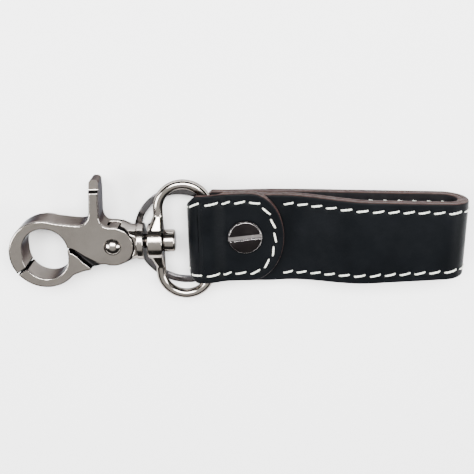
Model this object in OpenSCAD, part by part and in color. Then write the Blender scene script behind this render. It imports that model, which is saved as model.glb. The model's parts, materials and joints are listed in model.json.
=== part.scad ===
// Leather wristlet keychain lying on its back: a stitched two-ply strap folded into a hand loop,
// closed by a two-part screw, with a split ring and a trigger snap on a swivel eye in its fold.
// +X runs along the strap to the loop's end, +Y is the thumb tab's side, +Z is up, the screw's side.

/* [Strap] */
// Width of the strap at the clamp and the fold
strap_w = 25.2; // [24:0.2:26]
// Width of the strap at the loop's far end
end_w = 21.8; // [20:0.2:25]
// Thickness of one leather ply
ply_t = 1.6; // [1.4:0.05:1.7]
// Far end of the loop, measured from the middle of the part
loop_end_x = 64.6; // [60:0.2:70]
// Height of the upper strap run's bond line in the loop
loop_top_z = 11.8; // [11.4:0.1:12.2]

/* [Clamp] */
// Centre of the clamp screw
screw_x = 2.3; // [2:0.1:3]
// Distance of the clamp screw from the strap's middle
screw_y = 1.9; // [-1:0.1:2]
// Distance by which the flap folds over off the strap's middle
flap_lean = 1.4; // [-1:0.1:1.5]
// Diameter of the screw's head and of the post's flange
head_d = 9.5; // [8.5:0.1:10]
// Height of the screw's head
head_h = 1.2; // [0.8:0.1:1.6]
// Thickness of the post's flange
flange_t = 0.8; // [0.7:0.05:1]
// Diameter of the post's barrel
barrel_d = 4.4; // [4:0.1:4.6]
// Turn of the screw's slot
slot_turn = 5.5; // [0:0.5:180]
// Far end of the flap
flap_x = 13.2; // [12:0.1:14]

/* [Key ring] */
// Outer diameter of the split ring
ring_d = 29; // [28.8:0.1:29.2]
// Width of the ring's flat wire
ring_w = 1.9; // [1.7:0.1:1.9]
// Thickness of one coil of the ring
coil_t = 0.75; // [0.65:0.05:0.75]

/* [Swivel eye] */
// Diameter of the eye's wire
wire_d = 2.8; // [2.4:0.05:2.8]
// Distance from the eye's bar to its other side
eye_span = 14.2; // [13.8:0.1:14.4]
// Overall height of the eye
eye_h = 35.8; // [35:0.1:36.5]
// Diameter of the eye's boss
boss_d = 10; // [9:0.1:10.4]
// Diameter of the swivel stud
stud_d = 3.8; // [3:0.1:4.4]

/* [Trigger snap] */
// Thickness of the snap
snap_t = 8; // [7.6:0.1:8]
// Thickness of the body's tongue, between the trigger's cheeks
tongue_t = 3.4; // [3:0.1:3.6]
// Diameter of the trigger's round hub
hub_d = 11.6; // [11:0.1:11.8]
// Diameter of the rivet's domed heads
rivet_d = 4.9; // [4:0.1:5.4]
// Diameter of the rivet's shank
rivet_shank_d = 3; // [2.4:0.1:3.2]
// Radius of the round end of the jaws
jaw_r = 10; // [9.8:0.1:10.2]
// Length of the thumb tab above the swivel's axis
tab_y = 19.1; // [17:0.1:20]

/* [Stitching] */
// Distance from one stitch to the next
stitch_pitch = 4.15; // [3.6:0.05:5]
// Length of one stitch
stitch_l = 2.9; // [2.4:0.1:3.2]
// Thickness of the thread
thread_d = 0.7; // [0.5:0.05:0.8]
// Distance of the stitching from the strap's edge
stitch_in = 2.5; // [2:0.1:3.2]

/* [Hidden] */
$fn = 48;
shift_y = -0.6;             // from the swivel's axis to the middle of the part's box
run_gap = 0.06;             // radial clearance of a running fit
layer_t = 2 * ply_t;
back_z = flange_t + ply_t;  // bond line of the lower strap run at the clamp
belly_z = 0.4 + ply_t;      // the same in the fold and in the loop
front_z = back_z + layer_t; // bond line of the upper run's tucked end
flap_z = front_z + layer_t; // bond line of the flap
flap_top = flap_z + ply_t;
fold_x = -7.95;             // centre of the fold's round
fold_outer_r = 5.95;
fold_r = fold_outer_r - ply_t;
fold_z = belly_z + fold_r;
bend_mid_r = (loop_top_z - belly_z) / 2;
bend_x = loop_end_x - bend_mid_r - ply_t;
bend_z = belly_z + bend_mid_r;
tuck_x = -1.1;              // end of the upper run, tucked under the flap
rise_x = 13.5;              // where the upper run starts to rise
rise_l = 24;
split_z = front_z + ply_t;  // underside of the flap at the clamp
barrel_r = barrel_d / 2;
barrel_wall = 0.7;
hole_r = barrel_r + run_gap;
axis_z = 7.15;              // height of the eye, the swivel and the snap
bar_x = -7.8;               // the eye's straight bar, inside the fold
wire_r = wire_d / 2;
eye_x = bar_x - eye_span;   // the eye's other side, which holds the boss
eye_half = eye_h / 2 - wire_r - eye_span / 2;
boss_x0 = -25.1;
boss_x1 = -20.9;
collar_x0 = -28.1;
collar_x1 = -26.2;
collar_d = 10.4;
stud_head_r = 3.15;
shoulder_x = -32.3;
neck_x = -30.1;             // where the snap's shoulder is slim enough to turn clear of the split ring
pivot = [-34.85, -0.2];
cheek_z = tongue_t / 2 + 0.15;
jaw_c = [-54.2, -2.2];
hole_c = [-53.95, -2.1];
hole_slot = 1.1;            // half the distance between the centres of the mouth's round ends
mouth_r = 6.4;
ring_x = -1.1 - ring_d / 2;
ring_tilt = 10.5;           // from the table at the snap's end up into the fold
ring_z = 0.03 + ring_d / 2 * sin(ring_tilt) + coil_t * cos(ring_tilt);
waist_w = 20.4;             // width of the strap where it's cut in to pass through the ring
head_rest_x = screw_x - head_d / 2 - 0.15; // the flap is flat under the head as far as here
thread_lift = 0.02;         // gap between the thread and the leather

// Smooth step from 0 to 1
function ease(u) = let (v = min(1, max(0, u))) v * v * (3 - 2 * v);
function steps(a, b, n) = [for (i = [0:n]) a + (b - a) * i / n];
function arc(cx, cz, r, a0, a1, n) = [for (a = steps(a0, a1, n)) [cx + r * cos(a), cz + r * sin(a)]];

// The strap's bond line in the XZ plane, from the flap's end round to the tucked end
function flap_line(x) =
    flap_z + (fold_z + fold_r - flap_z) * ease((head_rest_x - x) / (head_rest_x - fold_x));
function back_line(x) = belly_z + (back_z - belly_z) * (ease((x - fold_x) / 6) - ease((x - 8) / 12));
function front_line(x) = front_z + (loop_top_z - front_z) * ease((x - rise_x) / rise_l);
path = concat(
    [[flap_x + 0.3, flap_z], [5, flap_z]],
    [for (x = steps(head_rest_x, fold_x, 6)) [x, flap_line(x)]],
    arc(fold_x, fold_z, fold_r, 101, 259, 14),
    [for (x = steps(fold_x, -1.95, 5)) [x, back_line(x)]],
    [for (x = steps(8, 20, 6)) [x, back_line(x)]],
    [[38, belly_z]],
    arc(bend_x, bend_z, bend_mid_r, -90, 90, 20),
    [for (x = steps(rise_x + rise_l, rise_x, 14)) [x, front_line(x)]],
    [[5, front_z], [tuck_x, front_z]]
);
// Unit normal of the path at point i, on its outer, grain side
function normal_at(i) =
    let (
        a = path[max(0, i - 1)],
        b = path[min(len(path) - 1, i + 1)],
        d = (b - a) / norm(b - a)
    ) [d[1], -d[0]];
function side(off) = [for (i = [0:len(path) - 1]) path[i] + off * normal_at(i)];
function reversed(v) = [for (i = [len(v) - 1:-1:0]) v[i]];

// Length along the path, and the place and direction at a length
function run(i) = i == 0 ? 0 : run(i - 1) + norm(path[i] - path[i - 1]);
runs = [for (i = [0:len(path) - 1]) run(i)];
function seg_at(s) = max([for (i = [0:len(path) - 2]) runs[i] <= s ? i : 0]);
function half_w(x) = strap_w / 2 + (end_w - strap_w) / 2 * max(0, (x - 10) / (loop_end_x - 10));

// Brings the middle of the part's box to Y 0
module in_place() {
    translate([0, shift_y, 0]) children();
}

module ribbon(off0, off1) {
    translate([0, strap_w, 0]) rotate([90, 0, 0])
        linear_extrude(2 * strap_w) polygon(concat(side(off0), reversed(side(off1))));
}

// Plan of the strap's lower and upper runs
module strap_plan() {
    near = half_w(0);
    far = half_w(loop_end_x);
    polygon([
        [-15, near], [10, near], [loop_end_x, far],
        [loop_end_x, -far], [10, -near], [-15, -near]
    ]);
}

// Plan of the flap, with its end rounded as half an ellipse
flap_round_x = 3.6;
function flap_edge(a, inset) =
    [flap_round_x + (flap_x - flap_round_x - inset) * cos(a), flap_lean + (strap_w / 2 - inset) * sin(a)];
module flap_plan() {
    polygon(concat(
        [[-15, flap_lean + strap_w / 2]],
        [for (a = steps(90, -90, 24)) flap_edge(a, 0)],
        [[-15, flap_lean - strap_w / 2]]
    ));
}

module strap_space() {
    translate([0, 0, -1]) linear_extrude(split_z + 1) strap_plan();
    translate([0, 0, split_z]) linear_extrude(10) flap_plan();
    translate([0, 0, split_z]) linear_extrude(10) intersection() {
        strap_plan();
        translate([rise_x + 0.1, -strap_w]) square([80, 2 * strap_w]);
    }
}

// Wedge round the fold's axis that takes off the strap's edge beyond y0 at angle a0 and y1 at a1
module edge_cut(a0, y0, a1, y1) {
    points = [
        for (e = [[a0, y0], [a1, y1]], r = [fold_outer_r / 3, 2 * fold_outer_r], y = [e[1], strap_w])
            [fold_x + r * cos(e[0]), y, fold_z + r * sin(e[0])]
    ];
    hull() polyhedron(points, [
        [0, 1, 3, 2], [4, 6, 7, 5], [0, 2, 6, 4], [1, 5, 7, 3], [0, 4, 5, 1], [2, 3, 7, 6]
    ]);
}

// Both edges of the fold, cut in to a waist where the strap passes through the split ring
module waist_cuts() {
    side_y = strap_w / 2;
    waist_y = waist_w / 2;
    for (m = [0, 1]) mirror([0, m, 0]) {
        lean = (1 - 2 * m) * flap_lean;
        edge_cut(128, side_y + lean, 178, waist_y + lean * 0.3);
        edge_cut(178, waist_y + lean * 0.3, 248, waist_y);
        edge_cut(248, waist_y, 283, side_y);
    }
}

module ply(off0, off1) {
    difference() {
        intersection() {
            ribbon(off0, off1);
            strap_space();
        }
        waist_cuts();
        translate([screw_x, screw_y, -1]) cylinder(r = hole_r, h = 20);
    }
}

module strap_outer_ply() {
    color([0.09, 0.10, 0.11]) in_place() ply(0, ply_t);
}

// Room for the eye's shoulders as it swings: the lining is skived away inside the fold's edges
module shoulder_room() {
    widening = 0.72;
    start_y = eye_half + 1;
    end_y = strap_w / 2 + flap_lean + 0.2;
    for (m = [-90, 90]) translate([bar_x, 0, axis_z]) rotate([m, 0, 0]) translate([0, 0, start_y])
        cylinder(r1 = wire_r + 0.17, r2 = wire_r + 0.17 + (end_y - start_y) * widening, h = end_y - start_y);
}

module strap_lining_ply() {
    color([0.13, 0.12, 0.12]) in_place() difference() {
        ply(-ply_t, 0);
        shoulder_room();
    }
}

// One stitch: a flat-bottomed length of thread on a face, along +X with its top towards +Z
module stitch() {
    linear_extrude(thread_d / 2) {
        square([stitch_l - thread_d, thread_d], center = true);
        for (m = [-1, 1]) translate([m * (stitch_l - thread_d) / 2, 0]) circle(d = thread_d, $fn = 16);
    }
}

// Place on the path at length s
function at(s) = let (i = seg_at(s), d = (path[i + 1] - path[i]) / (runs[i + 1] - runs[i]))
    path[i] + d * (s - runs[i]);

// A stitch on the outer side (m = 1) or the inner side (m = -1) at length s along the strap,
// parallel to the line between its ends and lifted clear of any bulge between them
module stitch_on_path(s, y, m) {
    a = at(s - stitch_l / 2);
    b = at(s + stitch_l / 2);
    d = (b - a) / norm(b - a);
    n = m * [d[1], -d[0]];
    bulge = max([for (u = steps(-0.5, 0.5, 8)) (at(s + u * stitch_l) - a) * n]);
    p = (a + b) / 2 + n * (ply_t + bulge + thread_lift);
    translate([p[0], y, p[1]]) rotate([0, -atan2(d[1], d[0]), 0])
        rotate([m > 0 ? 180 : 0, 0, 0]) stitch();
}

// Stitches along both edges: outside all round but for the fold and the flap's end, and inside
// along the loop's two runs
module edge_stitching() {
    first_s = flap_x - 1.2;
    last_s = runs[len(runs) - 1] - rise_x - 7.5;
    fold_s = [17, 35.5];
    inside_s = 72;
    bend_room = 1.5;
    color([0.88, 0.87, 0.80]) in_place()
        for (m = [-1, 1], k = [0:floor((last_s - first_s) / stitch_pitch)]) {
            s = first_s + k * stitch_pitch;
            x = at(s)[0];
            y = m * (half_w(x) - stitch_in) + (s < fold_s[0] ? flap_lean : 0);
            if (s > fold_s[1] || s < fold_s[0]) stitch_on_path(s, y, 1);
            if (s > inside_s && x < bend_x - bend_room) stitch_on_path(s, y, -1);
        }
}

module flap_stitching() {
    count = 7;
    first_a = 78;
    color([0.88, 0.87, 0.80]) in_place() for (a = steps(first_a, -first_a, count - 1)) {
        p = flap_edge(a, stitch_in);
        q = flap_edge(a - 1, stitch_in);
        translate([p[0], p[1], flap_top + thread_lift])
            rotate([0, 0, atan2(q[1] - p[1], q[0] - p[0])]) stitch();
    }
}

module clamp_screw() {
    slot_w = 1.4;
    slot_d = 0.6;
    rim = 0.3;
    color([0.25, 0.24, 0.24]) in_place() translate([screw_x, screw_y, 0]) {
        difference() {
            union() {
                translate([0, 0, flap_top]) cylinder(d = head_d, h = head_h - rim);
                translate([0, 0, flap_top + head_h - rim])
                    cylinder(d1 = head_d, d2 = head_d - 2 * rim, h = rim);
            }
            rotate([0, 0, slot_turn]) translate([-head_d, -slot_w / 2, flap_top + head_h - slot_d])
                cube([2 * head_d, slot_w, slot_d + 1]);
        }
        translate([0, 0, flange_t + 2.4])
            cylinder(r = barrel_r - barrel_wall - run_gap, h = flap_top - flange_t - 2.4);
    }
}

module screw_post() {
    color([0.28, 0.27, 0.27]) in_place() translate([screw_x, screw_y, 0]) difference() {
        union() {
            cylinder(d = head_d, h = flange_t);
            cylinder(r = barrel_r, h = flap_top - 0.3);
        }
        translate([0, 0, flange_t + 1]) cylinder(r = barrel_r - barrel_wall, h = 20);
    }
}

// Faces of a solid swept through a number of rows, each of n points
function sweep_faces(rows, n) = let (last = n * (rows - 1)) concat(
    [[for (j = [n - 1:-1:0]) j]],
    [for (i = [0:n:last - 1], j = [0:n - 1]) let (k = (j + 1) % n) [i + j, i + k, i + n + k, i + n + j]],
    [[for (j = [0:n - 1]) last + j]]
);

// Section of the ring's flat wire, with its corners cut off
function wire_section(w, t, cut) = [
    [-w / 2, -t / 2 + cut], [-w / 2 + cut, -t / 2], [w / 2 - cut, -t / 2], [w / 2, -t / 2 + cut],
    [w / 2, t / 2 - cut], [w / 2 - cut, t / 2], [-w / 2 + cut, t / 2], [-w / 2, t / 2 - cut]
];

// Split ring: flat wire in two flat coils, joined by a jog that steps up over the first coil's end
module split_ring() {
    jog_a = 24;                 // angle that the jog takes
    coil_gap = 0.04;
    second_a = 332;             // angle of the second coil
    buried = 3;                 // angle by which the jog runs on inside each coil
    skin = 0.01;
    cut = 0.2;
    mid_r = (ring_d - ring_w) / 2;
    wire_t = coil_t - coil_gap;
    first_a = 360 - jog_a;
    inner = wire_section(ring_w - 2 * skin, wire_t - 2 * skin, cut);
    n = len(inner);
    rows = steps(first_a - buried, 360 + buried, 10);
    points = [for (a = rows, p = inner) let (
            r = mid_r + p[0],
            z = coil_t * (ease((a - first_a) / jog_a) - 0.5)
        ) [r * cos(a), r * sin(a), z + p[1]]];
    color([0.30, 0.29, 0.29]) in_place() translate([ring_x, 0, ring_z]) rotate([0, -ring_tilt, 0])
        rotate([0, 0, 150]) {
            for (c = [[-0.5, first_a], [0.5, second_a]]) translate([0, 0, c[0] * coil_t])
                rotate_extrude(angle = c[1]) translate([mid_r, 0]) polygon(wire_section(ring_w, wire_t, cut));
            polyhedron(points, sweep_faces(len(rows), n));
        }
}

module swivel_eye() {
    neck_y = 7.6;
    color([0.42, 0.40, 0.39]) in_place() translate([0, 0, axis_z]) difference() {
        union() {
            for (m = [0, 180]) translate([(bar_x + eye_x) / 2, 0, 0]) rotate([0, 0, m])
                translate([0, eye_half, 0]) rotate_extrude(angle = 180)
                translate([eye_span / 2, 0]) circle(wire_r);
            for (x = [bar_x, eye_x]) translate([x, 0, 0]) rotate([90, 0, 0])
                cylinder(r = wire_r, h = 2 * eye_half, center = true);
            translate([boss_x0, 0, 0]) rotate([0, 90, 0]) cylinder(d = boss_d, h = boss_x1 - boss_x0);
            for (m = [-1, 1]) hull() {
                translate([boss_x0 + 0.4, 0, 0]) rotate([0, 90, 0])
                    cylinder(d = boss_d - 1, h = boss_x1 - boss_x0 - 0.8, $fn = 32);
                translate([eye_x, m * neck_y, 0]) rotate([90, 0, 0]) cylinder(r = wire_r, h = 0.2, $fn = 32);
            }
        }
        translate([boss_x0 - 1, 0, 0]) rotate([0, 90, 0]) cylinder(d = stud_d + 2 * run_gap, h = 7);
        translate([boss_x1, 0, 0]) rotate([0, 90, 0]) cylinder(r = stud_head_r + 0.2, h = 1);
    }
}

module swivel_stud() {
    head_x0 = boss_x1 + 0.1;
    head_x1 = -17.5;
    rim = 0.35;
    color([0.45, 0.43, 0.42]) in_place() translate([0, 0, axis_z]) rotate([0, 90, 0]) {
        translate([0, 0, head_x0]) cylinder(r = stud_head_r, h = head_x1 - head_x0 - rim);
        translate([0, 0, head_x1 - rim]) cylinder(r1 = stud_head_r, r2 = stud_head_r - rim, h = rim);
        translate([0, 0, collar_x0 - 0.9]) cylinder(d = stud_d, h = head_x0 - collar_x0 + 0.9);
    }
}

// Plan of the mouth inside the two jaws: a short slot with round ends
module mouth() {
    for (m = [-1, 1]) translate(hole_c + [0, m * hole_slot]) circle(mouth_r);
    translate(hole_c - [mouth_r, hole_slot]) square([2 * mouth_r, 2 * hole_slot]);
}

// Everything on the upper jaw's side of the line where the jaws meet
module upper_side(gap) {
    polygon([
        [-70, -12.6 + gap], [-62.9, -8.1 + gap], [-59.2, -5.7 + gap], [-54, -2.4 + gap],
        [-47.2, -0.35 + gap], [-45.9, -0.75 + gap], [-38.4, -6.3 + gap], [-36, -7.8 + gap],
        [-25, -7.8], [-25, 25], [-70, 25]
    ]);
}

// Plan of the trigger's arm: the top of the upper jaw, the thumb tab and the web down to the hub
module arm_plan() {
    polygon([
        [-54, 7.5], [-51.5, 7.3], [-48.8, 6.9], [-46, 6.5], [-43.6, 6.3], [-42.2, 6.8],
        [-41.2, 7.9], [-40.7, 9.6], [-40.1, tab_y - 0.7], [-39.5, tab_y - 0.1],
        [-38.1, tab_y - 0.1], [-37.5, tab_y - 0.7], [-38.0, 8.3], [-37.6, 6.8], [-36.8, 5.9],
        [-35.4, 5.5], [-33.8, 5.3], [-30.5, 0], [-36, -5.5], [-38.5, -5.5], [-48, 0], [-54, 0]
    ]);
}

// Plan of the space that the body's tongue and hub keep inside the trigger
module tongue_room() {
    translate(pivot) circle(d = hub_d + 0.3);
    polygon([[-48.5, -1.6], [-40.2, 2.2], [-34, 2.2], [-34, -12], [-48.5, -12]]);
}

module trigger_jaw() {
    color([0.56, 0.53, 0.50]) in_place() translate([0, 0, axis_z]) difference() {
        intersection() {
            translate([0, 0, -snap_t / 2]) union() {
                translate(jaw_c) cylinder(r = jaw_r, h = snap_t);
                translate(pivot) cylinder(d = hub_d, h = snap_t);
                linear_extrude(snap_t) arm_plan();
            }
            translate([0, 0, -snap_t]) linear_extrude(2 * snap_t) upper_side(0);
        }
        translate([0, 0, -snap_t]) linear_extrude(2 * snap_t) mouth();
        translate([0, 0, -cheek_z]) linear_extrude(2 * cheek_z) tongue_room();
        translate([pivot[0], pivot[1], -snap_t]) cylinder(d = rivet_shank_d + 2 * run_gap, h = 2 * snap_t);
    }
}

// Plan of the lower jaw, below the line where the jaws meet and left of the trigger's cheeks
module lower_jaw_plan() {
    difference() {
        union() {
            translate(jaw_c) circle(jaw_r);
            polygon([
                [-54, -12.1], [-51.4, -11.6], [-48.6, -10.1], [-46.2, -8.5], [-43.8, -7.6], [-41.6, -7.1],
                [-41.2, -6.7], [-46.2, -2.2], [-47, -1.9], [-47.8, -2.4], [-54, -8]
            ]);
        }
        mouth();
        upper_side(-0.45);
        polygon([[-49, 12], [-46.9, -1.7], [-45.9, -2.2], [-39.9, -7.6], [-25, -7.6], [-25, 12]]);
    }
}

// Plan of the thin tongue that joins the lower jaw, the hub and the shoulder
module tongue_plan() {
    translate(pivot) circle(d = hub_d - 0.5);
    polygon([
        [-46.9, -2.6], [-46.2, -2.3], [-40.3, 1.5], [-36, 2], [-36, -5.7], [-39.8, -6.6],
        [-43.6, -7.5], [-46.5, -8.4]
    ]);
    polygon([
        [-36, -5.6], [-32.2, -6.1], [neck_x, -5], [collar_x0, -4.4],
        [collar_x0, 4.4], [neck_x, 4.8], [-33, 5.1]
    ]);
}

module snap_body() {
    pocket_r = 3.5;
    pocket_d = 1.9;
    shoulder_r = 6.3;
    neck_r = 5.2;
    color([0.54, 0.51, 0.48]) in_place() translate([0, 0, axis_z]) difference() {
        union() {
            translate([0, 0, -snap_t / 2]) linear_extrude(snap_t) lower_jaw_plan();
            translate([0, 0, -tongue_t / 2]) linear_extrude(tongue_t) tongue_plan();
            difference() {
                intersection() {
                    union() {
                        translate([shoulder_x, 0, 0]) rotate([0, 90, 0])
                            cylinder(r1 = shoulder_r, r2 = neck_r, h = neck_x - shoulder_x);
                        translate([neck_x, 0, 0]) rotate([0, 90, 0])
                            cylinder(r1 = neck_r, r2 = neck_r - 0.4, h = collar_x0 - neck_x);
                    }
                    translate([shoulder_x, -hub_d, -snap_t / 2]) cube([10, 2 * hub_d, snap_t]);
                }
                translate([pivot[0], pivot[1], -snap_t]) cylinder(d = hub_d + 0.5, h = 2 * snap_t);
            }
            translate([collar_x0, 0, 0]) rotate([0, 90, 0]) cylinder(d = collar_d, h = collar_x1 - collar_x0);
        }
        translate([pivot[0], pivot[1], -snap_t]) cylinder(d = rivet_shank_d, h = 2 * snap_t);
        translate([pivot[0], pivot[1], -tongue_t / 2 - 0.01]) cylinder(r = pocket_r, h = pocket_d);
        translate([collar_x0 - 0.9, 0, 0]) rotate([0, 90, 0]) cylinder(d = stud_d, h = 8);
    }
}

module pivot_rivet() {
    dome_h = 1.3;
    ball_r = (rivet_d * rivet_d / 4 + dome_h * dome_h) / (2 * dome_h);
    color([0.52, 0.50, 0.48]) in_place() translate([pivot[0], pivot[1], axis_z]) {
        cylinder(d = rivet_shank_d, h = snap_t, center = true);
        for (m = [0, 180]) rotate([m, 0, 0]) translate([0, 0, snap_t / 2 + 0.03]) intersection() {
            translate([0, 0, dome_h - ball_r]) sphere(ball_r);
            cylinder(d = rivet_d, h = dome_h + 1);
        }
        for (m = [-1, 1]) translate([0, 0, m * snap_t / 2])
            cylinder(d = rivet_shank_d, h = 0.2, center = true);
    }
}

// Torsion spring coiled round the rivet, in the pocket on the tongue's lower face
module trigger_spring() {
    spring_wire = 0.45;
    coil_r = 2.7;
    turns = 3;
    sides = 8;
    count = turns * 20;
    points = [for (i = [0:count]) let (a = 360 * turns * i / count, z = 0.5 * turns * i / count)
        for (j = [0:sides - 1]) let (
            b = 360 * j / sides,
            r = coil_r + spring_wire / 2 * cos(b)
        ) [r * cos(a), r * sin(a), z + spring_wire / 2 * sin(b)]];
    color([0.7, 0.7, 0.72]) in_place()
        translate([pivot[0], pivot[1], axis_z - tongue_t / 2 + 0.22])
        polyhedron(points, sweep_faces(count + 1, sides));
}

strap_outer_ply();
strap_lining_ply();
edge_stitching();
flap_stitching();
clamp_screw();
screw_post();
split_ring();
swivel_eye();
swivel_stud();
snap_body();
trigger_jaw();
pivot_rivet();
trigger_spring();
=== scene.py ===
"""Looks of the leather wristlet keychain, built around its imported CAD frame."""
import math
import json
import random

import bmesh
import bpy
from mathutils import Matrix, Vector
from mathutils.kdtree import KDTree


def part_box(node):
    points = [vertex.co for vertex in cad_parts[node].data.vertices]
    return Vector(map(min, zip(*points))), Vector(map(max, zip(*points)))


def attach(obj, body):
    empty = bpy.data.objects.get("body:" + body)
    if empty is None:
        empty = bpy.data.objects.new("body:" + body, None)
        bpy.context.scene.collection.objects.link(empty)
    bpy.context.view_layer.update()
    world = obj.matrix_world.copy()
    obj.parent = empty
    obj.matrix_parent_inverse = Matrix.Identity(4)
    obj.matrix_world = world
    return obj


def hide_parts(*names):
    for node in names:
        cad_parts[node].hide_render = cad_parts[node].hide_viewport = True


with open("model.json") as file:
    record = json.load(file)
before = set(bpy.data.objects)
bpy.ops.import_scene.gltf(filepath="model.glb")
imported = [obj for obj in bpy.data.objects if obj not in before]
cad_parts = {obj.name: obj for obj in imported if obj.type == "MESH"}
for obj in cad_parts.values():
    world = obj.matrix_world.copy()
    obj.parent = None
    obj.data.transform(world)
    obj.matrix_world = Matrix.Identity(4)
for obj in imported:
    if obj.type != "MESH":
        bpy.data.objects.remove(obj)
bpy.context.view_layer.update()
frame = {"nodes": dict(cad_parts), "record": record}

MM = 0.001
rng = random.Random(7)


# ---------------------------------------------------------------- places taken from the frame

def box_mm(node):
    """A CAD node's lowest and highest corner, in millimetres."""
    low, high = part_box(node)
    return [v / MM for v in low], [v / MM for v in high]


def named(rows, name):
    """The joint or mount of that name in the record."""
    return next(row for row in rows if row["name"] == name)


def in_plan(row):
    """A joint's or mount's place in millimetres: its X, and its Y from the part's middle line."""
    return row["pos_m"][0] / MM, row["pos_m"][1] / MM - MID_Y


joints = frame["record"]["behaviour"]["joints"]
strap_low, strap_high = box_mm("strap_outer_ply")
eye_low, eye_high = box_mm("swivel_eye")
jaw_low, jaw_high = box_mm("trigger_jaw")
head_high = box_mm("clamp_screw")[1]

MID_Y = (eye_low[1] + eye_high[1]) / 2
AXIS_Z = named(joints, "eye_swing")["pos_m"][2] / MM
BAR_X = named(joints, "eye_swing")["pos_m"][0] / MM
PIVOT = in_plan(named(joints, "trigger_open"))
MOUTH = in_plan(named(frame["record"]["mounts"], "snap_mouth"))
SNAP_HALF_T = (jaw_high[2] - jaw_low[2]) / 2

# ---------------------------------------------------------------- the strap and its thread, in millimetres

PLY = 1.6
FLAP_LEAN = 1.4         # the flap folds over this far to +Y
LEAN_FROM = 14          # length from the flap's tip where the lean starts to fade
LEAN_FADE = 24          # length over which it fades away
FOLD_LEAN = 0.25        # extra lean for each millimetre that the fold rises over the flap
EDGE_SWELL = 0.4        # the dyed edges stand this far out past the cut plies
STRAP_W = strap_high[1] - strap_low[1] - FLAP_LEAN + 2 * EDGE_SWELL
END_W = 21.8            # width at the loop's end
TAPER_X = 10            # the strap starts to narrow here
WAIST_HALF = 10.2       # half-width at the waist
WAIST_IN = (128, 50)    # angle round the fold where the waist starts, and degrees that it comes in over
WAIST_OUT = (248, 35)   # the same for where it goes out again
FLAP_PART = 50          # the flap and the fold lie within this length from the flap's tip
FLAP_END = 13.2
FLAP_ROUND_X = 3.6      # the flap's rounded end starts here
FOLD_X = -7.95
FOLD_R = 5.95 - PLY
BELLY_Z = strap_low[2] + PLY
BACK_Z = 0.8 + PLY      # the back lies higher than the belly under the clamp, on the post's flange
BACK_RISE = 6           # length that it rises over, from the fold
BACK_FALL_X, BACK_FALL = 8, 12  # where it starts to come down again, and the length for that
FRONT_Z = BACK_Z + 2 * PLY
FLAP_Z = FRONT_Z + 2 * PLY
FOLD_Z = BELLY_Z + FOLD_R
LOOP_END = strap_high[0]
LOOP_TOP_Z = strap_high[2] - PLY
BEND_R = (LOOP_TOP_Z - BELLY_Z) / 2
BEND_X = LOOP_END - BEND_R - PLY
BEND_Z = BELLY_Z + BEND_R
TUCK_X = -1.1           # the strap's other end, tucked in under the flap
COVER_X = 11.4          # the flap hides the stitches of the tucked end up to here
RISE_X = 13.5           # the loop's front rises from here
RISE_L = 24.0
FLAT_X = -2.6           # the flap is flat from here to its end
OUTLINE_STEP = 0.42

EYE_ROOM = 1.4 + 0.17   # radius of the eye's bar, with clearance
EYE_STRAIGHT = 9.4 + 1  # the leather's edges are skived beyond this distance from the middle line
SKIVE_SLOPE = 0.72

STITCH_PITCH = 4.15
STITCH_L = 3.0
STITCH_IN = 2.5
STITCH_SLANT = -0.20
THREAD_R = 0.26
TIP_STITCHES = 3        # flap stitches on each side of the one at the tip


def ease(u):
    """A smooth step from 0 to 1."""
    v = min(1.0, max(0.0, u))
    return v * v * (3 - 2 * v)


def spread(a, b, n):
    """Values at n equal steps from a to b."""
    return [a + (b - a) * i / n for i in range(n + 1)]


def bond_line():
    """The line between the two plies, from the flap's end round to the tucked end, in XZ."""
    pts = [(x, FLAP_Z) for x in spread(FLAP_END, FLAT_X, 10)]
    for x in spread(FLAT_X, FOLD_X, 24)[1:]:
        u = (FLAT_X - x) / (FLAT_X - FOLD_X)
        pts.append((x, FLAP_Z + (FOLD_Z + FOLD_R - FLAP_Z) * ease(u)))
    for a in spread(90, 270, 60)[1:]:
        r = math.radians(a)
        pts.append((FOLD_X + FOLD_R * math.cos(r), FOLD_Z + FOLD_R * math.sin(r)))
    for x in spread(FOLD_X, BEND_X, 120)[1:]:
        rise = ease((x - FOLD_X) / BACK_RISE) - ease((x - BACK_FALL_X) / BACK_FALL)
        pts.append((x, BELLY_Z + (BACK_Z - BELLY_Z) * rise))
    for a in spread(-90, 90, 60)[1:]:
        r = math.radians(a)
        pts.append((BEND_X + BEND_R * math.cos(r), BEND_Z + BEND_R * math.sin(r)))
    for x in spread(BEND_X, TUCK_X, 130)[1:]:
        pts.append((x, FRONT_Z + (LOOP_TOP_Z - FRONT_Z) * ease((x - RISE_X) / RISE_L)))
    return pts


class Path:
    """A polyline that is walked by length."""

    def __init__(self, pts):
        self.pts = pts
        self.runs = [0.0]
        for a, b in zip(pts, pts[1:]):
            self.runs.append(self.runs[-1] + math.dist(a, b))
        self.length = self.runs[-1]

    def at(self, s):
        """The point at length s."""
        s = min(max(s, 0.0), self.length)
        low, high = 0, len(self.runs) - 2
        while low < high:
            mid = (low + high + 1) // 2
            if self.runs[mid] <= s:
                low = mid
            else:
                high = mid - 1
        a, b = self.pts[low], self.pts[low + 1]
        t = (s - self.runs[low]) / (self.runs[low + 1] - self.runs[low])
        return tuple(p + (q - p) * t for p, q in zip(a, b))

    def direction(self, s, reach=0.35):
        """The unit direction at length s, taken over the reach on each side."""
        a, b = self.at(s - reach), self.at(s + reach)
        d = math.dist(a, b)
        return tuple((q - p) / d for p, q in zip(a, b))


bond = Path(bond_line())


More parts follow.
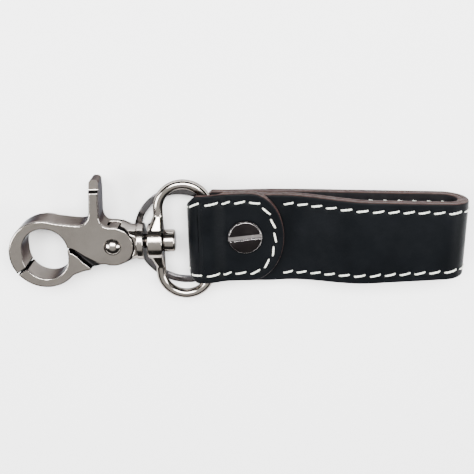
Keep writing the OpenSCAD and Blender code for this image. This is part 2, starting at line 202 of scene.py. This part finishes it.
def half_width(s):
    """Half of the strap's width at length s from the flap's tip."""
    x = bond.at(s)[0]
    if s < FLAP_END - FLAP_ROUND_X:
        u = (x - FLAP_ROUND_X) / (FLAP_END - FLAP_ROUND_X)
        return STRAP_W / 2 * math.sqrt(max(0.0, 1 - u * u))
    if s < FLAP_PART and x < FOLD_X + 1.5:
        a = math.degrees(math.atan2(bond.at(s)[1] - FOLD_Z, x - FOLD_X)) % 360
        u = min(max((a - WAIST_IN[0]) / WAIST_IN[1], 0), 1) - min(max((a - WAIST_OUT[0]) / WAIST_OUT[1], 0), 1)
        return STRAP_W / 2 + (WAIST_HALF - STRAP_W / 2) * u
    return STRAP_W / 2 + (END_W - STRAP_W) / 2 * max(0.0, (x - TAPER_X) / (LOOP_END - TAPER_X))


def strap_point(s, y, h):
    """From the flat pattern (length, across, height over the bond line) to the folded strap."""
    x, z = bond.at(s)
    dx, dz = bond.direction(s)
    lean = FLAP_LEAN * (1 - ease((s - LEAN_FROM) / LEAN_FADE))
    if s < FLAP_PART:
        lean += FOLD_LEAN * max(0.0, z - FLAP_Z)
    return (x + dz * h, MID_Y + y + lean, z - dx * h)


def outline():
    """The upper half of the flat pattern's outline, as (s, y, outward s, outward y)."""
    pts = []
    a_len = FLAP_END - FLAP_ROUND_X
    for a in spread(0, math.pi / 2, 30):
        n = Vector((-math.cos(a) / a_len, math.sin(a) / (STRAP_W / 2))).normalized()
        pts.append((a_len * (1 - math.cos(a)), STRAP_W / 2 * math.sin(a), n.x, n.y))
    count = int((bond.length - a_len) / OUTLINE_STEP)
    for s in spread(a_len, bond.length, count)[1:]:
        slope = (half_width(s + 0.6) - half_width(s - 0.6)) / 1.2
        n = Vector((-slope, 1)).normalized()
        pts.append((s, half_width(s), n.x, n.y))
    return pts


OUTLINE = outline()


def stitch_line():
    """The stitching line in the flat pattern, up one edge, round the flap's end and down the other.
    It follows the narrow waist at the fold only halfway."""
    upper = []
    for s, y, nx, ny in OUTLINE:
        if s < FLAP_END - FLAP_ROUND_X:
            upper.append((s - nx * STITCH_IN, y - ny * STITCH_IN))
        elif s < bond.length - 1:
            cut = STRAP_W / 2 - y if s < FLAP_PART else 0
            upper.append((s, y - STITCH_IN + 0.5 * max(0, cut)))
    return Path(upper[::-1] + [(s, -y) for s, y in upper[1:]])


stitches = stitch_line()


def stitch_places():
    """The middle, the direction and the number of every stitch, counted from the flap's tip."""
    half = int(stitches.length / 2 / STITCH_PITCH) - 1
    places = []
    for k in range(-half, half + 1):
        u = stitches.length / 2 + k * STITCH_PITCH
        places.append((stitches.at(u), stitches.direction(u, 1.2), k))
    return places


STITCHES = stitch_places()
HIDDEN_FROM = bond.length - (COVER_X - TUCK_X)
LOOP_FROM = next(s for s in spread(40, 90, 500) if bond.at(s)[0] > FLAP_END - 1)


# ---------------------------------------------------------------- mesh helpers

def new_object(name, verts_mm, faces, materials, face_slots=None):
    """A smooth-shaded object from vertices in millimetres, with its normals turned outward."""
    mesh = bpy.data.meshes.new(name)
    mesh.from_pydata([tuple(c * MM for c in v) for v in verts_mm], [], faces)
    for m in materials:
        mesh.materials.append(m)
    if face_slots:
        mesh.polygons.foreach_set("material_index", face_slots)
    mesh.polygons.foreach_set("use_smooth", [True] * len(mesh.polygons))
    mesh.validate()
    mesh.update()
    clean(mesh, 1e-7)
    return linked(name, mesh)


def linked(name, data):
    """A new object with that data, linked to the scene."""
    obj = bpy.data.objects.new(name, data)
    bpy.context.scene.collection.objects.link(obj)
    return obj


def loft(rings, cap=True):
    """Faces between rings of points, each ring closed on itself. Returns vertices and faces."""
    n = len(rings[0])
    verts = [p for ring in rings for p in ring]
    faces = []
    for i in range(len(rings) - 1):
        a, b = i * n, (i + 1) * n
        for j in range(n):
            k = (j + 1) % n
            faces.append((a + j, a + k, b + k, b + j))
    if cap:
        faces.append(tuple(reversed(range(n))))
        faces.append(tuple((len(rings) - 1) * n + j for j in range(n)))
    return verts, faces


def apply_modifiers(obj):
    """Puts the modifiers' outcome in place of the object's mesh."""
    bpy.context.view_layer.update()
    graph = bpy.context.evaluated_depsgraph_get()
    mesh = bpy.data.meshes.new_from_object(obj.evaluated_get(graph))
    obj.modifiers.clear()
    obj.data = mesh


def clean(mesh, merge_m, flat_angle=None):
    """Merges doubled vertices, joins faces that are flat to each other, and turns normals outward."""
    bm = bmesh.new()
    bm.from_mesh(mesh)
    bmesh.ops.remove_doubles(bm, verts=bm.verts, dist=merge_m)
    if flat_angle:
        bmesh.ops.dissolve_limit(bm, angle_limit=flat_angle, verts=bm.verts, edges=bm.edges)
    bmesh.ops.recalc_face_normals(bm, faces=bm.faces)
    bm.to_mesh(mesh)
    bm.free()


def cad_copy(node, name, material):
    """A new object with a clean copy of a CAD node's mesh."""
    mesh = frame["nodes"][node].data.copy()
    mesh.name = name
    clean(mesh, 2e-6, math.radians(0.5))
    mesh.materials.clear()
    mesh.materials.append(material)
    return linked(name, mesh)


def bevelled(node, name, width, material, bright_rounding=None):
    """A CAD node's shape with its sharp edges rounded off, and the roundings in a second, brighter metal if
    asked.
    """
    obj = cad_copy(node, name, material)
    mod = obj.modifiers.new("round", "BEVEL")
    mod.width = width * MM
    mod.segments = 3
    mod.limit_method = "ANGLE"
    mod.angle_limit = math.radians(32)
    mod.harden_normals = False
    if bright_rounding:
        obj.data.materials.append(bright_rounding)
        mod.material = 1
    apply_modifiers(obj)
    obj.data.polygons.foreach_set("use_smooth", [True] * len(obj.data.polygons))
    obj.data.set_sharp_from_angle(angle=math.radians(40))
    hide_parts(node)
    return obj


def cast(node, name, voxel, rounds, material):
    """A CAD node's shape as a polished casting: remeshed, with every edge and blend softened."""
    obj = cad_copy(node, name, material)
    mod = obj.modifiers.new("cast", "REMESH")
    mod.mode = "VOXEL"
    mod.voxel_size = voxel * MM
    mod = obj.modifiers.new("soften", "SMOOTH")
    mod.factor = 0.5
    mod.iterations = rounds
    apply_modifiers(obj)
    obj.data.polygons.foreach_set("use_smooth", [True] * len(obj.data.polygons))
    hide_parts(node)
    return obj


# ---------------------------------------------------------------- materials

class Nodes:
    """A material's node tree, with short calls to add and join nodes."""

    def __init__(self, name):
        self.mat = bpy.data.materials.new(name)
        self.mat.use_nodes = True
        self.tree = self.mat.node_tree
        self.bsdf = self.tree.nodes["Principled BSDF"]
        self.coord = self.tree.nodes.new("ShaderNodeTexCoord")

    def set(self, **values):
        """Plain values on the shader's sockets."""
        for key, value in values.items():
            self.bsdf.inputs[key.replace("_", " ")].default_value = value

    def link(self, a, b):
        self.tree.links.new(a, b)

    def noise(self, scale, detail=4, rough=0.55, stretch=None):
        node = self.tree.nodes.new("ShaderNodeTexNoise")
        node.inputs["Scale"].default_value = scale
        node.inputs["Detail"].default_value = detail
        node.inputs["Roughness"].default_value = rough
        self.place(node, stretch)
        return node.outputs["Fac"]

    def voronoi(self, scale):
        node = self.tree.nodes.new("ShaderNodeTexVoronoi")
        node.inputs["Scale"].default_value = scale
        self.place(node, None)
        return node.outputs["Distance"]

    def place(self, node, stretch):
        """Lays a texture out over the object's own coordinates, stretched if asked."""
        source = self.coord.outputs["Object"]
        if stretch:
            mapping = self.tree.nodes.new("ShaderNodeMapping")
            mapping.inputs["Scale"].default_value = stretch
            self.link(source, mapping.inputs["Vector"])
            source = mapping.outputs["Vector"]
        self.link(source, node.inputs["Vector"])

    def ramp(self, source, stops, socket):
        """A ramp over the source, with tones or colours at its stops, into one of the shader's sockets."""
        node = self.tree.nodes.new("ShaderNodeValToRGB")
        elements = node.color_ramp.elements
        while len(elements) < len(stops):
            elements.new(0.5)
        for element, (place, value) in zip(elements, stops):
            element.position = place
            colour = value if isinstance(value, tuple) else (value, value, value)
            element.color = (*colour, 1)
        self.link(source, node.inputs["Fac"])
        self.link(node.outputs["Color"], self.bsdf.inputs[socket])

    def math(self, kind, a, b):
        node = self.tree.nodes.new("ShaderNodeMath")
        node.operation = kind
        for socket, value in zip(node.inputs, (a, b)):
            if isinstance(value, (int, float)):
                socket.default_value = value
            else:
                self.link(value, socket)
        return node.outputs["Value"]

    def bump(self, height, strength, distance):
        node = self.tree.nodes.new("ShaderNodeBump")
        node.inputs["Strength"].default_value = strength
        node.inputs["Distance"].default_value = distance
        self.link(height, node.inputs["Height"])
        self.link(node.outputs["Normal"], self.bsdf.inputs["Normal"])


def leather_grain():
    n = Nodes("leather_grain")
    tones = [(0.3, (0.0017, 0.0021, 0.0026)), (0.7, (0.0033, 0.0038, 0.0046))]
    n.ramp(n.noise(90, 5, 0.6), tones, "Base Color")
    n.ramp(n.noise(260, 4), [(0.3, 0.34), (0.7, 0.46)], "Roughness")
    n.set(Specular_IOR_Level=0.035)
    pores = n.voronoi(1900)
    fine = n.noise(2600, 4)
    crease = n.noise(420, 5, 0.6)
    height = n.math("ADD", n.math("MULTIPLY", pores, 0.5), n.math("MULTIPLY", fine, 0.5))
    n.bump(n.math("ADD", height, n.math("MULTIPLY", crease, 1.2)), 0.35, 0.00009)
    return n.mat


def leather_inside():
    n = Nodes("leather_inside")
    tones = [(0.3, (0.003, 0.003, 0.004)), (0.75, (0.009, 0.0085, 0.009))]
    n.ramp(n.noise(350, 6, 0.7), tones, "Base Color")
    n.set(Roughness=0.8, Specular_IOR_Level=0.05)
    n.bump(n.noise(2200, 6, 0.7), 0.6, 0.00015)
    return n.mat


def leather_edge():
    n = Nodes("leather_edge")
    tones = [(0.25, (0.010, 0.005, 0.0045)), (0.5, (0.025, 0.013, 0.0115)), (0.8, (0.052, 0.030, 0.026))]
    n.ramp(n.noise(700, 5, 0.65, stretch=(0.35, 1, 1)), tones, "Base Color")
    n.ramp(n.noise(900, 3), [(0.3, 0.5), (0.7, 0.7)], "Roughness")
    n.set(Specular_IOR_Level=0.08)
    n.bump(n.noise(2400, 5, 0.7, stretch=(0.3, 1, 1)), 0.5, 0.00012)
    return n.mat


def waxed_thread():
    n = Nodes("waxed_thread")
    n.ramp(n.noise(1500, 4), [(0.25, (0.40, 0.42, 0.36)), (0.7, (0.78, 0.79, 0.71))], "Base Color")
    n.set(Roughness=0.6, Sheen_Weight=0.25)
    n.bump(n.noise(9000, 3), 0.4, 0.00005)
    return n.mat


def polished(name, low, high, rough, wave):
    """Polished, dark-plated metal with faint tone and gloss changes and a slight waviness. The dark
    tint keeps walls seen at a grazing angle from mirroring the pale floor."""
    n = Nodes(name)
    n.ramp(n.noise(140, 3), [(0.3, low), (0.7, high)], "Base Color")
    n.set(Metallic=1.0, Specular_Tint=(0.19, 0.195, 0.21, 1))
    n.ramp(n.noise(500, 5, 0.65), [(0.3, rough), (0.75, rough + 0.08)], "Roughness")
    n.bump(n.noise(170, 2), wave, 0.0003)
    return n.mat


GRAIN = leather_grain()
INSIDE = leather_inside()
EDGE = leather_edge()
THREAD = waxed_thread()
GUNMETAL = polished("gunmetal", (0.325, 0.297, 0.270), (0.395, 0.362, 0.330), 0.12, 0.04)
# painted shade: a darker copy of the gunmetal for the side walls and flanks, standing in for their dark
# reflections
GUNMETAL_PAINTED_SHADE = polished("gunmetal_painted_shade", (0.150, 0.138, 0.128), (0.205, 0.188, 0.175), 0.14, 0.04)
# painted shade: black for the narrow gaps between the castings
GAP_PAINTED_SHADE = polished("gap_painted_shade", (0.010, 0.010, 0.010), (0.018, 0.017, 0.017), 0.5, 0.04)
RING_METAL = polished("ring_metal", (0.105, 0.100, 0.104), (0.150, 0.143, 0.147), 0.15, 0.04)
SCREW_METAL = polished("screw_metal", (0.014, 0.012, 0.013), (0.026, 0.023, 0.023), 0.30, 0.05)
BRIGHT_HEAD_METAL = polished("bright_head_metal", (0.34, 0.32, 0.32), (0.46, 0.44, 0.44), 0.22, 0.04)
STEEL = polished("spring_steel", (0.45, 0.45, 0.46), (0.55, 0.55, 0.56), 0.25, 0.03)


# ---------------------------------------------------------------- leather

EDGE_R = 0.5
FACE_INSETS = [0.75, 1.1, 1.5, 1.85, 2.1, 2.3, 2.5, 2.7, 2.9, 3.15, 3.6, 4.3]
MIDDLE_COLUMNS = 14


def edge_profile():
    """The rounded, burnished edge as (inset, height), from the bond line up to the face."""
    pts = [(0.14, 0.0), (0.03, 0.10), (0.0, 0.30), (0.0, PLY - EDGE_R - 0.2)]
    for q in (0, 22.5, 45, 67.5, 90):
        a = math.radians(q)
        pts.append((EDGE_R * (1 - math.cos(a)), PLY - EDGE_R + EDGE_R * math.sin(a)))
    return pts


def stitch_marks(m):
    cells = {}
    for (s, y), (ds, dy), k in STITCHES:
        if not shown_stitch(s, m):
            continue
        for e in (-1, 1):
            p = stitch_end(s, y, ds, dy, e)
            cells.setdefault((math.floor(p[0]), math.floor(p[1])), []).append(p)
    return cells


def shown_stitch(s, m):
    """Whether a stitch lies open to view on that side: not under the flap, and inside only the loop."""
    return (0 if m > 0 else LOOP_FROM) < s < HIDDEN_FROM


def stitch_end(s, y, ds, dy, e):
    """One of a stitch's two holes, in the flat pattern. Each stitch slants a little to its line."""
    c, q = math.cos(STITCH_SLANT), math.sin(STITCH_SLANT)
    ts, ty = ds * c - dy * q, ds * q + dy * c
    return (s + e * ts * STITCH_L / 2, y + e * ty * STITCH_L / 2)


def sunk(cells, s, y):
    """How far the leather is pulled in near the thread's holes."""
    depth = 0.0
    for i in (-1, 0, 1):
        for j in (-1, 0, 1):
            for p in cells.get((math.floor(s) + i, math.floor(y) + j), ()):
                d2 = (p[0] - s) ** 2 + (p[1] - y) ** 2
                depth = max(depth, 0.30 * math.exp(-d2 / 0.16))
    return depth


def clear_of_eye(p, most):
    """Skives the leather's edge away, up to a radius at most, where the eye's shoulders swing inside
    the fold."""
    room = min(most, EYE_ROOM + SKIVE_SLOPE * (abs(p[1] - MID_Y) - EYE_STRAIGHT))
    dx, dz = p[0] - BAR_X, p[2] - AXIS_Z
    away = math.hypot(dx, dz)
    if room < EYE_ROOM or away >= room:
        return p
    return (BAR_X + dx * room / away, p[1], AXIS_Z + dz * room / away)


def leather_ply(name, m, face_material):
    """One ply of the strap, its face at m times the ply's thickness from the bond line."""
    profile = edge_profile()
    cells = stitch_marks(m)
    skived_to = FOLD_R + (0.8 if m > 0 else -0.03)
    insets = profile + [(i, PLY) for i in FACE_INSETS]
    rings = []
    for s, y, ns, ny in OUTLINE:
        upper = [(s - ns * i, y - ny * i, h) for i, h in insets]
        lower = [(p[0], -p[1], p[2]) for p in upper]
        a, b = upper[-1], lower[-1]
        middle = [(a[0], a[1] + (b[1] - a[1]) * t, PLY) for t in spread(0, 1, MIDDLE_COLUMNS)[1:-1]]
        ring = []
        for p in upper + middle + lower[::-1]:
            h = p[2]
            if h > PLY - 0.01:
                h -= sunk(cells, p[0], p[1])
            ring.append(clear_of_eye(strap_point(p[0], p[1], m * h), skived_to))
        rings.append(ring)
    verts, faces = loft(rings, cap=False)
    n = len(rings[0])
    edge_columns = len(profile) - 3
    slots = []
    for f in range(len(faces)):
        j = f % n
        slots.append(1 if j < edge_columns or n - 1 - edge_columns <= j < n - 1 else 0)
    end = (len(rings) - 1) * n
    faces.append(tuple(end + j for j in range(n)))
    slots.append(1)
    return new_object(name, verts, faces, [face_material, EDGE], slots)


outer = leather_ply("strap_outer_leather", 1, GRAIN)
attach(outer, "strap")
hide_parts("strap_outer_ply")
lining = leather_ply("strap_lining_leather", -1, INSIDE)
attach(lining, "strap")
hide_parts("strap_lining_ply")


# ---------------------------------------------------------------- thread

def one_stitch(s, y, ds, dy, m):
    """Rings of a length of two-strand thread, drawn down into its hole at each end."""
    a, b = stitch_end(s, y, ds, dy, -1), stitch_end(s, y, ds, dy, 1)
    length = math.dist(a, b)
    along = ((b[0] - a[0]) / length, (b[1] - a[1]) / length)
    across = (-along[1], along[0])
    twist = rng.uniform(0, math.tau)
    rings = []
    for t in spread(-1.06, 1.06, 20):
        rise = 0.10 - 0.42 * abs(t) ** 5
        c = (s + along[0] * t * length / 2, y + along[1] * t * length / 2)
        squeeze = 1 - 0.18 * abs(t) ** 4
        ring = []
        for j in range(14):
            q = math.tau * j / 14
            strand = 1 + 0.17 * math.cos(2 * (q - twist - 6.5 * t))
            r = THREAD_R * squeeze * strand
            u, v = r * math.cos(q), 0.72 * r * math.sin(q)
            ring.append(strap_point(c[0] + across[0] * u, c[1] + across[1] * u, m * (PLY + rise + v)))
        rings.append(ring)
    return rings


def stitch_object(name, node, wanted):
    """All the stitches that a CAD node stands for, as one object."""
    verts, faces = [], []
    for (s, y), (ds, dy), k in STITCHES:
        for m in (1, -1):
            if not shown_stitch(s, m) or not wanted(k):
                continue
            v, f = loft(one_stitch(s, y, ds, dy, m))
            faces += [tuple(i + len(verts) for i in face) for face in f]
            verts += v
    obj = new_object(name, verts, faces, [THREAD])
    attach(obj, "strap")
    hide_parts(node)
    return obj


stitch_object("edge_thread", "edge_stitching", lambda k: abs(k) > TIP_STITCHES)
stitch_object("flap_thread", "flap_stitching", lambda k: abs(k) <= TIP_STITCHES)


# ---------------------------------------------------------------- split ring

RING_D = 29.0
WIRE_W = 1.9
WIRE_T = 0.75
WIRE_CORNER = 0.30
WIRE_TURN = 692         # degrees of wire from end to end
WIRE_FROM = 150         # degrees to the wire's first end
JOG_FROM, JOG = 336, 24     # degrees over which the wire steps from one coil to the other


def wire_section():
    """The flat wire's section, with rounded corners, as (outward, along the ring's axis)."""
    half_w, half_t = WIRE_W / 2 - WIRE_CORNER, WIRE_T / 2 - 0.03 - WIRE_CORNER
    section = []
    for cx, cz, first in ((1, 1, 0), (-1, 1, 90), (-1, -1, 180), (1, -1, 270)):
        for q in spread(first, first + 90, 4):
            a = math.radians(q)
            section.append((cx * half_w + WIRE_CORNER * math.cos(a), cz * half_t + WIRE_CORNER * math.sin(a)))
    return section


def split_ring():
    """Nearly two turns of flat wire, one coil on the other, tapered at both ends."""
    turn = named(joints, "ring_turn")
    centre = Vector(turn["pos_m"]) / MM
    axis = Vector(turn["axis"]).normalized()
    side = Vector((0, 1, 0)).cross(axis).normalized()
    place = Matrix((side, Vector((0, 1, 0)), axis)).transposed()
    mid_r = (RING_D - WIRE_W) / 2
    steps = 260
    section = wire_section()
    rings = []
    for i, a in enumerate(spread(0, WIRE_TURN, steps)):
        z = WIRE_T * (ease((a - JOG_FROM) / JOG) - 0.5)
        turned = math.radians(a + WIRE_FROM)
        taper = min(1.0, 0.55 + 0.45 * ease(min(i, steps - i) / 3))
        ring = []
        for u, w in section:
            r = mid_r + u * taper
            ring.append(centre + place @ Vector((r * math.cos(turned), r * math.sin(turned), z + w * taper)))
        rings.append(ring)
    verts, faces = loft(rings)
    obj = new_object("split_ring_wire", verts, faces, [RING_METAL])
    obj.data.set_sharp_from_angle(angle=math.radians(50))
    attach(obj, "key_ring")
    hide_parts("split_ring")


split_ring()


# ---------------------------------------------------------------- metal castings and turned parts

TURNED_X = -31.6        # the snap is flat on the jaws' side of this and turned round beyond it
ROUNDING = 0.5          # radius of the castings' rounded edges
MOUTH_ROUNDING = 0.3
MOUTH_EDGE_R = 8.4      # edges within this distance of the mouth's middle get the smaller radius
TAB_X, TAB_Y = -44, 15.4    # the thumb tab's faces slope back beyond these
PAINTED_SHADE_H = 3.75     # painted shade: the recesses are black up to this height over the mid-plane

# The narrow gaps between the two castings: each one's middle line in plan, its half-width, and the height over
# the mid-plane that the painted shade in it reaches.
GAPS = [
    ([(-46.6, -1.2), (-45.9, -1.45), (-39.4, -6.7), (-38.2, -7.5)], 1.15, 3.7),
    ([(-44.6, -2.6), (-39.4, -6.7), (-38.2, -7.5)], 1.4, 3.2),
    ([(-65.5, -9.7), (-62.9, -8.3), (-59.2, -5.9), (-58.4, -5.3)], 0.55, 3.98),
]


def dress(obj, body):
    """Makes the piece ride on its body."""
    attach(obj, body)


def from_middle(co):
    """A place on a casting in millimetres: X, Y from the middle line, and Z from the mid-plane."""
    return co.x / MM, co.y / MM - MID_Y, co.z / MM - AXIS_Z


def in_gap(x, y, z, spare=0.0):
    """Whether a point lies in one of the narrow gaps, or within the spare distance of one."""
    for line, reach, height in GAPS:
        if abs(z) > height:
            continue
        for a, b in zip(line, line[1:]):
            u = ((x - a[0]) * (b[0] - a[0]) + (y - a[1]) * (b[1] - a[1])) / math.dist(a, b) ** 2
            u = min(max(u, 0), 1)
            if math.dist((x, y), (a[0] + u * (b[0] - a[0]), a[1] + u * (b[1] - a[1]))) < reach + spare:
                return True
    return False


def round_over(obj):
    """Rounds the outer edges of a jaw's faces well over, and the mouth's edges a little. The outline
    is found from the vertices halfway up the walls, away from the rivet's hole and the gaps."""
    walls, normals = [], []
    for v in obj.data.vertices:
        x, y, z = from_middle(v.co)
        if not 2.3 < abs(z) < 3.3 or abs(v.normal.z) > 0.35 or x > TURNED_X:
            continue
        if math.dist((x, y), PIVOT) > 2.6 and not in_gap(x, y, 0, 0.1):
            walls.append((x, y))
            normals.append(Vector((v.normal.x, v.normal.y)).normalized())
    tree = KDTree(len(walls))
    for i, (x, y) in enumerate(walls):
        tree.insert((x, y, 0), i)
    tree.balance()
    for v in obj.data.vertices:
        x, y, z = from_middle(v.co)
        at, i, away = tree.find((x, y, 0))
        radius = MOUTH_ROUNDING if math.dist((x, y), MOUTH) < MOUTH_EDGE_R else ROUNDING
        u = radius - away
        w = abs(z) - (SNAP_HALF_T - radius)
        if u <= 0 or w <= 0 or math.hypot(u, w) <= radius:
            continue
        k = radius / math.hypot(u, w)
        inward = radius - u * k
        v.co.x = (at[0] - normals[i].x * inward) * MM
        v.co.y = (at[1] - normals[i].y * inward + MID_Y) * MM
        v.co.z = (AXIS_Z + math.copysign(SNAP_HALF_T - radius + w * k, z)) * MM


def paint_shade_on_sides(obj):
    """Paints shade on the side walls of the flat jaws and the flanks of the round parts: they get a darker
    copy of the polished gunmetal, which stands in for the dark reflections that fall there."""
    obj.data.materials.append(GUNMETAL_PAINTED_SHADE)
    for face in obj.data.polygons:
        flat = face.center.x < TURNED_X * MM
        if abs(face.normal.z) < (0.94 if flat else 0.5):
            face.material_index = 1


def paint_shade_in_gaps(obj):
    """Paints shade into the narrow gaps between the two castings, in black: those of GAPS, and the round one
    between the trigger's hub and the body's shoulder."""
    obj.data.materials.append(GAP_PAINTED_SHADE)
    for face in obj.data.polygons:
        x, y, z = from_middle(face.center)
        from_hub = math.dist((x, y), PIVOT)
        wall = x > -33 and 5.3 < from_hub < 6.35 and abs(face.normal.z) < 0.7
        bottom = x > -34 and 5.9 < from_hub < 6.3
        if in_gap(x, y, z) or abs(z) <= PAINTED_SHADE_H and (wall or bottom):
            face.material_index = 2


def slope_tab(obj):
    """Slopes back the last few millimetres of the thumb tab's faces."""
    for v in obj.data.vertices:
        x, y, z = from_middle(v.co)
        past = y - TAB_Y
        if past > 0 and x > TAB_X:
            room = SNAP_HALF_T - 0.95 * min(1, past / 0.9) - 0.10 * max(0, past - 0.9)
            v.co.z = (AXIS_Z + max(-room, min(room, z))) * MM


def brighten_head(obj):
    """Leaves the screw head's rim and the bottom of its slot in the brighter metal."""
    for face in obj.data.polygons:
        depth = head_high[2] - face.center.z / MM
        in_slot = 0.35 < depth < 0.8
        if 0.2 < face.normal.z < 0.97 or (in_slot and face.normal.z > 0.5):
            face.material_index = 1


eye_cast = cast("swivel_eye", "swivel_eye_cast", 0.20, 6, GUNMETAL)
paint_shade_on_sides(eye_cast)
dress(eye_cast, "eye")

body_cast = cast("snap_body", "snap_body_cast", 0.17, 6, GUNMETAL)
round_over(body_cast)
paint_shade_on_sides(body_cast)
paint_shade_in_gaps(body_cast)
dress(body_cast, "snap")

jaw_cast = cast("trigger_jaw", "trigger_jaw_cast", 0.17, 6, GUNMETAL)
round_over(jaw_cast)
slope_tab(jaw_cast)
paint_shade_on_sides(jaw_cast)
paint_shade_in_gaps(jaw_cast)
dress(jaw_cast, "trigger")

dress(bevelled("swivel_stud", "swivel_stud_turned", 0.25, GUNMETAL), "snap")
screw = bevelled("clamp_screw", "clamp_screw_turned", 0.13, SCREW_METAL, bright_rounding=BRIGHT_HEAD_METAL)
brighten_head(screw)
dress(screw, "strap")
dress(bevelled("screw_post", "screw_post_turned", 0.18, SCREW_METAL), "strap")
dress(bevelled("pivot_rivet", "pivot_rivet_domed", 0.05, GUNMETAL), "snap")
spring = frame["nodes"]["trigger_spring"]
spring.data.materials.clear()
spring.data.materials.append(STEEL)


# ---------------------------------------------------------------- floor, light and camera

FLOOR_HALF = 1.5
WORLD_TONES = [(0.0, 0.06), (0.5, 0.02), (0.66, 0.06), (0.76, 0.72), (1.0, 0.90)]


def floor():
    """A wide sheet of pale paper."""
    mesh = bpy.data.meshes.new("floor")
    corners = [(FLOOR_HALF * x, FLOOR_HALF * y, 0) for x, y in ((-1, -1), (1, -1), (1, 1), (-1, 1))]
    mesh.from_pydata(corners, [], [(0, 1, 2, 3)])
    n = Nodes("floor_paper")
    n.ramp(n.noise(12, 2), [(0.3, 0.93), (0.7, 0.95)], "Base Color")
    n.set(Roughness=0.9, Specular_IOR_Level=0.1)
    mesh.materials.append(n.mat)
    obj = linked("floor", mesh)


def area_light(name, place, size, power):
    """A softbox that faces the part, with a size in metres and a power in watts."""
    light = bpy.data.lights.new(name, "AREA")
    light.shape = "RECTANGLE"
    light.size, light.size_y = size
    light.energy = power
    obj = linked(name, light)
    obj.location = place
    obj.rotation_euler = (Vector((0, 0, 0.005)) - Vector(place)).to_track_quat("-Z", "Y").to_euler()


def lights():
    """A world that is dark at the sides and bright overhead, and three softboxes."""
    world = bpy.data.worlds.new("studio")
    world.use_nodes = True
    tree = world.node_tree
    coord = tree.nodes.new("ShaderNodeTexCoord")
    split = tree.nodes.new("ShaderNodeSeparateXYZ")
    ramp = tree.nodes.new("ShaderNodeValToRGB")
    while len(ramp.color_ramp.elements) < len(WORLD_TONES):
        ramp.color_ramp.elements.new(0.5)
    for element, (place, value) in zip(ramp.color_ramp.elements, WORLD_TONES):
        element.position = place
        element.color = (value, value * 0.985, value * 0.96, 1)
    tree.links.new(coord.outputs["Generated"], split.inputs["Vector"])
    tree.links.new(split.outputs["Z"], ramp.inputs["Fac"])
    tree.links.new(ramp.outputs["Color"], tree.nodes["Background"].inputs["Color"])
    bpy.context.scene.world = world
    area_light("top_softbox", (0.0, 0.30, 0.60), (0.60, 0.26), 18.5)
    area_light("left_softbox", (-0.60, 0.0, 0.45), (0.30, 0.40), 8)
    area_light("right_softbox", (0.60, -0.05, 0.40), (0.25, 0.40), 7)


CAM_TILT = math.radians(20.5)
CAM_TURN = math.radians(1.15)
CAM_DIST = 0.205
CAM_TARGET = Vector((0, 0, 0.007))
FOCAL_PIXELS = 722.0
IMAGE_PIXELS = 474


def camera():
    """The photo's camera: above the part, tilted back to the thumb tab's side and turned a little."""
    data = bpy.data.cameras.new("camera")
    data.sensor_fit = "HORIZONTAL"
    data.angle = 2 * math.atan(IMAGE_PIXELS / 2 / FOCAL_PIXELS)
    data.clip_start = 0.01
    obj = linked("camera", data)
    turn = Matrix.Rotation(-CAM_TURN, 3, "Z")
    back = turn @ Vector((0, math.sin(CAM_TILT), math.cos(CAM_TILT)))
    right = turn @ Vector((1, 0, 0))
    up = back.cross(right)
    pose = Matrix((right, up, back)).transposed().to_4x4()
    pose.translation = CAM_TARGET + back * CAM_DIST
    obj.matrix_world = pose
    bpy.context.scene.camera = obj


floor()
lights()
camera()
